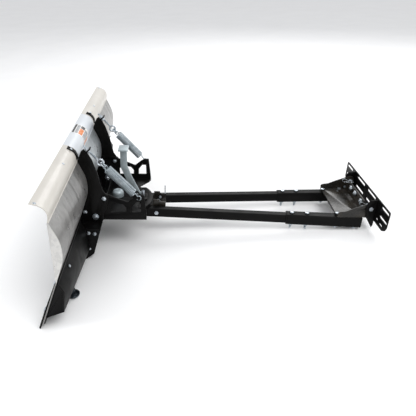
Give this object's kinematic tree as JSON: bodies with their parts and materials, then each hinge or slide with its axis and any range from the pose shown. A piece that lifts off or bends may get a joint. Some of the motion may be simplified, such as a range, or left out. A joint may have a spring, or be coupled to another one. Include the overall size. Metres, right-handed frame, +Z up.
{
  "type": "atv plow blade",
  "caption": "Curved snow blade with a rolled top flap, trip springs and a swivelling cradle, on a long frame of two box tubes that ends in a slotted mount plate.",
  "frame": {"origin": "on the ground under the middle of the plow's box", "axes": "+X from the blade back to the mount plate, +Y across the blade, +Z up"},
  "size_m": [1.3186, 1.27, 0.4701],
  "materials": {
    "moldboard_sheet": "galvanised sheet, with the rolled flap painted cream at the ends and cool white in the middle",
    "galvanised_steel": "dull galvanised sheet",
    "black_powder_coat": "glossy black powder coat with a fine orange peel",
    "zinc_plate": "bright bluish zinc plating"
  },
  "bodies": {
    "push_frame": {"kingpin": "zinc_plate", "sector_plate": "black_powder_coat", "nose_bracket": "black_powder_coat", "push_tube_near": "black_powder_coat", "push_tube_far": "black_powder_coat", "sleeve_tube_near": "black_powder_coat", "sleeve_tube_far": "black_powder_coat", "nose_bolt_near": "zinc_plate", "nose_bolt_far": "zinc_plate", "hitch_pin_near": "zinc_plate", "hitch_pin_far": "zinc_plate", "hairpin_near": "zinc_plate", "hairpin_far": "zinc_plate", "sleeve_bolt_near_1": "zinc_plate", "sleeve_bolt_near_2": "zinc_plate", "sleeve_bolt_far_1": "zinc_plate", "sleeve_bolt_far_2": "zinc_plate", "bracket_bolt_near_1": "zinc_plate", "bracket_bolt_near_2": "zinc_plate", "bracket_bolt_far_1": "zinc_plate", "bracket_bolt_far_2": "zinc_plate", "rear_bracket": "black_powder_coat"},
    "cradle": {"base_plate": "black_powder_coat", "cross_brace": "black_powder_coat", "lever_bracket": "black_powder_coat", "lever_pivot_bolt": "zinc_plate", "side_plate_near": "black_powder_coat", "side_plate_far": "black_powder_coat", "trip_pivot_bolt_near": "zinc_plate", "trip_pivot_bolt_far": "zinc_plate"},
    "blade": {"moldboard_center": "moldboard_sheet", "moldboard_near": "moldboard_sheet", "moldboard_far": "moldboard_sheet", "end_plate_near": "galvanised_steel", "end_plate_far": "galvanised_steel", "wear_bar": "black_powder_coat", "lower_channel_center": "black_powder_coat", "lower_channel_near": "black_powder_coat", "lower_channel_far": "black_powder_coat", "rib_near": "black_powder_coat", "rib_far": "black_powder_coat", "rib_foot_near": "black_powder_coat", "rib_foot_far": "black_powder_coat", "anchor_strap_near": "black_powder_coat", "anchor_strap_far": "black_powder_coat", "eye_bolt_near": "zinc_plate", "eye_bolt_far": "zinc_plate", "stop_bolt_near": "zinc_plate", "stop_bolt_far": "zinc_plate"},
    "lock_lever": {"lock_lever": "zinc_plate"},
    "lock_pin": {"lock_pin": "zinc_plate"},
    "skid_shoe_near": {"skid_shoe_near": "zinc_plate"},
    "skid_shoe_far": {"skid_shoe_far": "zinc_plate"},
    "spring_near": {"trip_spring_near": "zinc_plate"},
    "spring_far": {"trip_spring_far": "zinc_plate"},
    "spring_link_near": {"spring_link_near": "zinc_plate"},
    "spring_link_far": {"spring_link_far": "zinc_plate"},
    "mount": {"mount_plate": "black_powder_coat", "mount_ear_near": "black_powder_coat", "mount_ear_far": "black_powder_coat"}
  },
  "joints": [
    {"name": "swivel", "type": "hinge", "parent": "push_frame", "child": "cradle", "pos_m": [-0.45162, 0, 0.14722], "axis": [0.064, 0, 0.9979], "range_deg": [-30, 30]},
    {"name": "blade_trip", "type": "hinge", "parent": "cradle", "child": "blade", "pos_m": [-0.51877, 0, 0.16254], "axis": [0, -1, 0], "range_deg": [0, 24], "stiffness_Nm_per_rad": 60, "springref_deg": -34.38},
    {"name": "spring_swing_near", "type": "hinge", "parent": "cradle", "child": "spring_near", "pos_m": [-0.34075, -0.187, 0.2353], "axis": [0, -1, 0], "range_deg": [0, 16.1]},
    {"name": "spring_stretch_near", "type": "slide", "parent": "spring_near", "child": "spring_link_near", "axis": [-0.6288, 0, 0.7776], "range_m": [0, 0.0729], "deforming": ["trip_spring_near"]},
    {"name": "spring_swing_far", "type": "hinge", "parent": "cradle", "child": "spring_far", "pos_m": [-0.34075, 0.187, 0.2353], "axis": [0, -1, 0], "range_deg": [0, 16.1]},
    {"name": "spring_stretch_far", "type": "slide", "parent": "spring_far", "child": "spring_link_far", "axis": [-0.6288, 0, 0.7776], "range_m": [0, 0.0729], "deforming": ["trip_spring_far"]},
    {"name": "lock_lever_swing", "type": "hinge", "parent": "cradle", "child": "lock_lever", "pos_m": [-0.36844, 0, 0.16292], "axis": [0, -1, 0], "range_deg": [-20, 0]},
    {"name": "lock_pin_drop", "type": "slide", "parent": "cradle", "child": "lock_pin", "axis": [0.064, 0, 0.9979], "range_m": [-0.009, 0]},
    {"name": "skid_height_near", "type": "slide", "parent": "blade", "child": "skid_shoe_near", "axis": [0.064, 0, 0.9979], "range_m": [0, 0.015]},
    {"name": "skid_height_far", "type": "slide", "parent": "blade", "child": "skid_shoe_far", "axis": [0.064, 0, 0.9979], "range_m": [0, 0.015]},
    {"name": "mount_hinge", "type": "hinge", "parent": "push_frame", "child": "mount", "pos_m": [0.62603, 0, 0.10715], "axis": [0, -1, 0], "range_deg": [0, 90]}
  ],
  "couplings": [
    {"joint": "spring_swing_near", "follows": "blade_trip", "ratio": 0.6687},
    {"joint": "spring_stretch_near", "follows": "blade_trip", "m_per_rad": 0.1738},
    {"joint": "spring_swing_far", "follows": "blade_trip", "ratio": 0.6687},
    {"joint": "spring_stretch_far", "follows": "blade_trip", "m_per_rad": 0.1738},
    {"joint": "lock_pin_drop", "follows": "lock_lever_swing", "m_per_rad": 0.0255}
  ]
}
